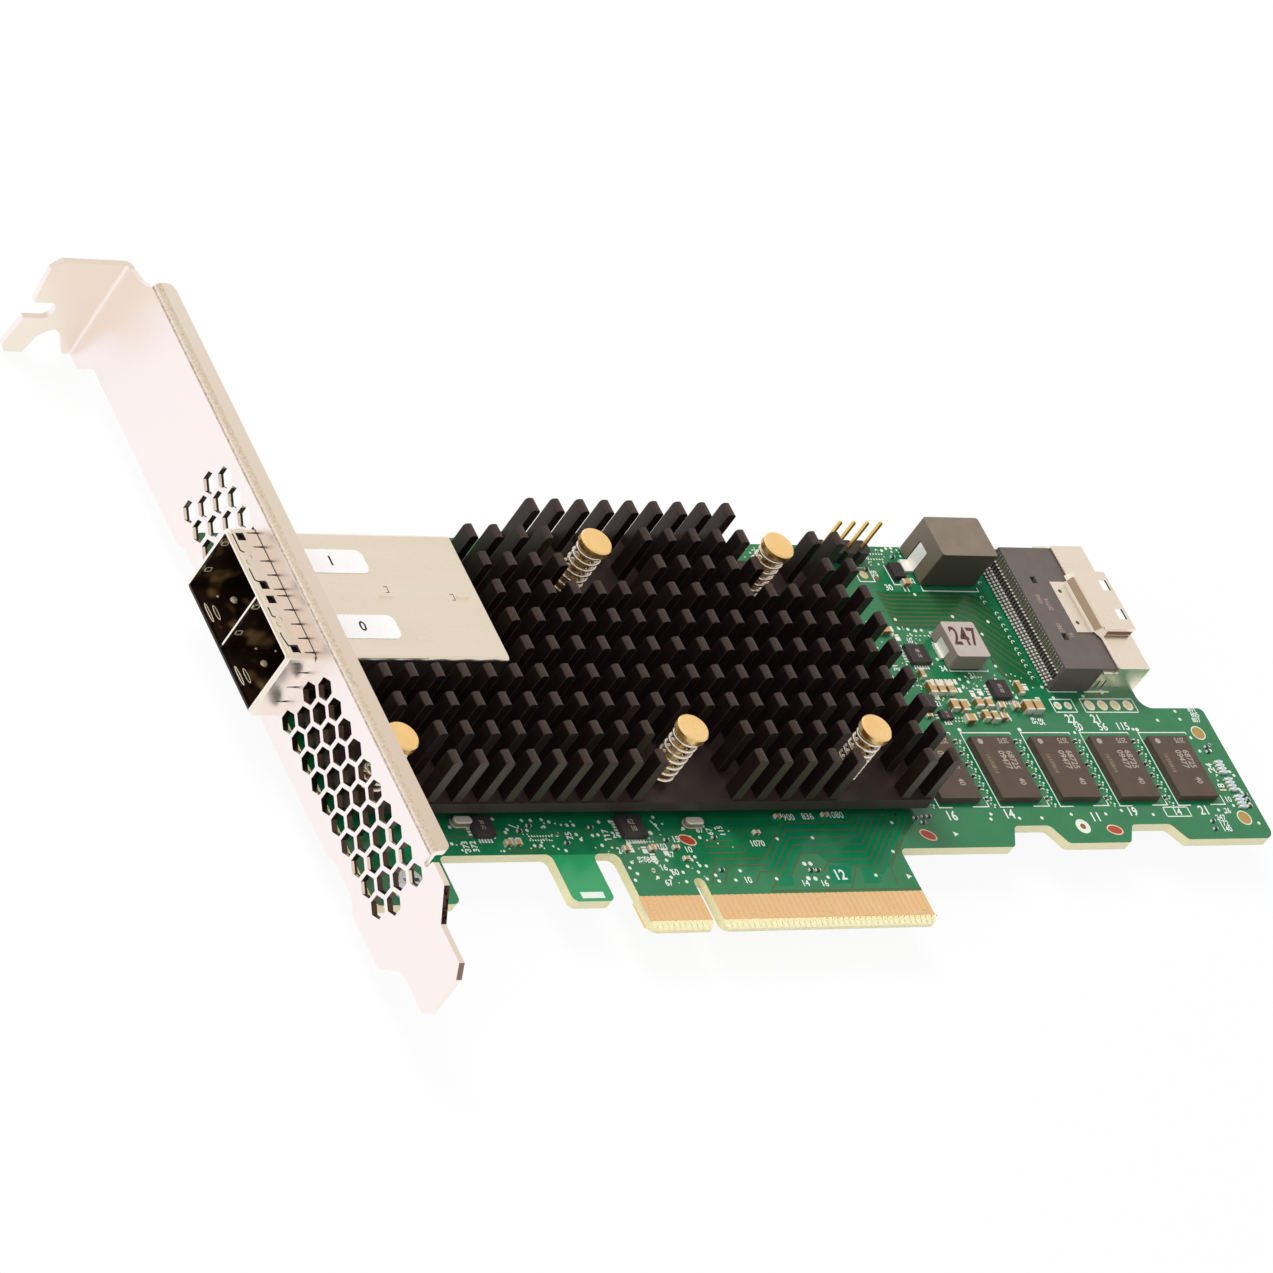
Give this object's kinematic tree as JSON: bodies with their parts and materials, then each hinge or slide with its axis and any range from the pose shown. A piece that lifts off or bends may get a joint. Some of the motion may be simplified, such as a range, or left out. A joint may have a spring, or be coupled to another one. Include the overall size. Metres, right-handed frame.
{
  "type": "raid controller card",
  "caption": "Low, full-height bracket storage controller card with edge contacts, finned heatsink, side-by-side external cage ports and an internal cable socket",
  "frame": {"origin": "Middle of the key notch, on the edge of the contact strip, at the board's component surface.", "axes": "+X along the card away from the bracket; +Y from the contact edge to the top edge; +Z out of the component side."},
  "size_m": [0.1809, 0.1207, 0.0214],
  "materials": {
    "board": "solder mask over glass laminate",
    "gold": "thin gold plate",
    "chip_plastic": "moulded, matt",
    "pad": "soft grey",
    "anodised": "black anodised",
    "pin_brass": "turned",
    "spring_steel": "bright drawn wire",
    "nickel": "satin nickel plate",
    "zinc": "clear zinc plate",
    "label": "printed film",
    "tin": "bright tin",
    "ferrite": "pressed iron powder, lacquered",
    "ferrite_light": "pressed iron powder, lacquered",
    "ceramic": "fired ceramic"
  },
  "bodies": {
    "root": {"circuit_board": "board", "edge_contacts": "gold", "controller_chip": "chip_plastic", "thermal_pad": "pad", "heatsink": "anodised", "push_pin_1": "pin_brass", "pin_spring_1": "spring_steel", "push_pin_2": "pin_brass", "pin_spring_2": "spring_steel", "push_pin_3": "pin_brass", "pin_spring_3": "spring_steel", "push_pin_4": "pin_brass", "pin_spring_4": "spring_steel", "push_pin_5": "pin_brass", "pin_spring_5": "spring_steel", "mounting_bracket": "nickel", "bracket_screws": "zinc", "cage_shell": "nickel", "cage_floor": "nickel", "cage_divider": "nickel", "emi_collar": "nickel", "port_receptacle_1": "chip_plastic", "port_contacts_1": "gold", "port_label_1": "label", "port_receptacle_2": "chip_plastic", "port_contacts_2": "gold", "port_label_2": "label", "socket_housing": "chip_plastic", "socket_contacts": "tin", "socket_shell": "nickel", "power_coil": "ferrite", "power_coil_leads": "tin", "small_coil": "ferrite_light", "small_coil_leads": "tin", "memory_chip_1": "chip_plastic", "memory_chip_2": "chip_plastic", "memory_chip_3": "chip_plastic", "memory_chip_4": "chip_plastic", "memory_chip_5": "chip_plastic", "header_base": "chip_plastic", "header_pins": "gold", "power_chip_1": "chip_plastic", "power_chip_2": "chip_plastic", "power_chip_3": "chip_plastic", "power_chip_4": "chip_plastic", "power_chip_5": "chip_plastic", "dual_transistor": "chip_plastic", "crystal_1": "tin", "crystal_2": "tin", "capacitor_bodies": "ceramic", "capacitor_ends": "tin"}
  },
  "joints": []
}
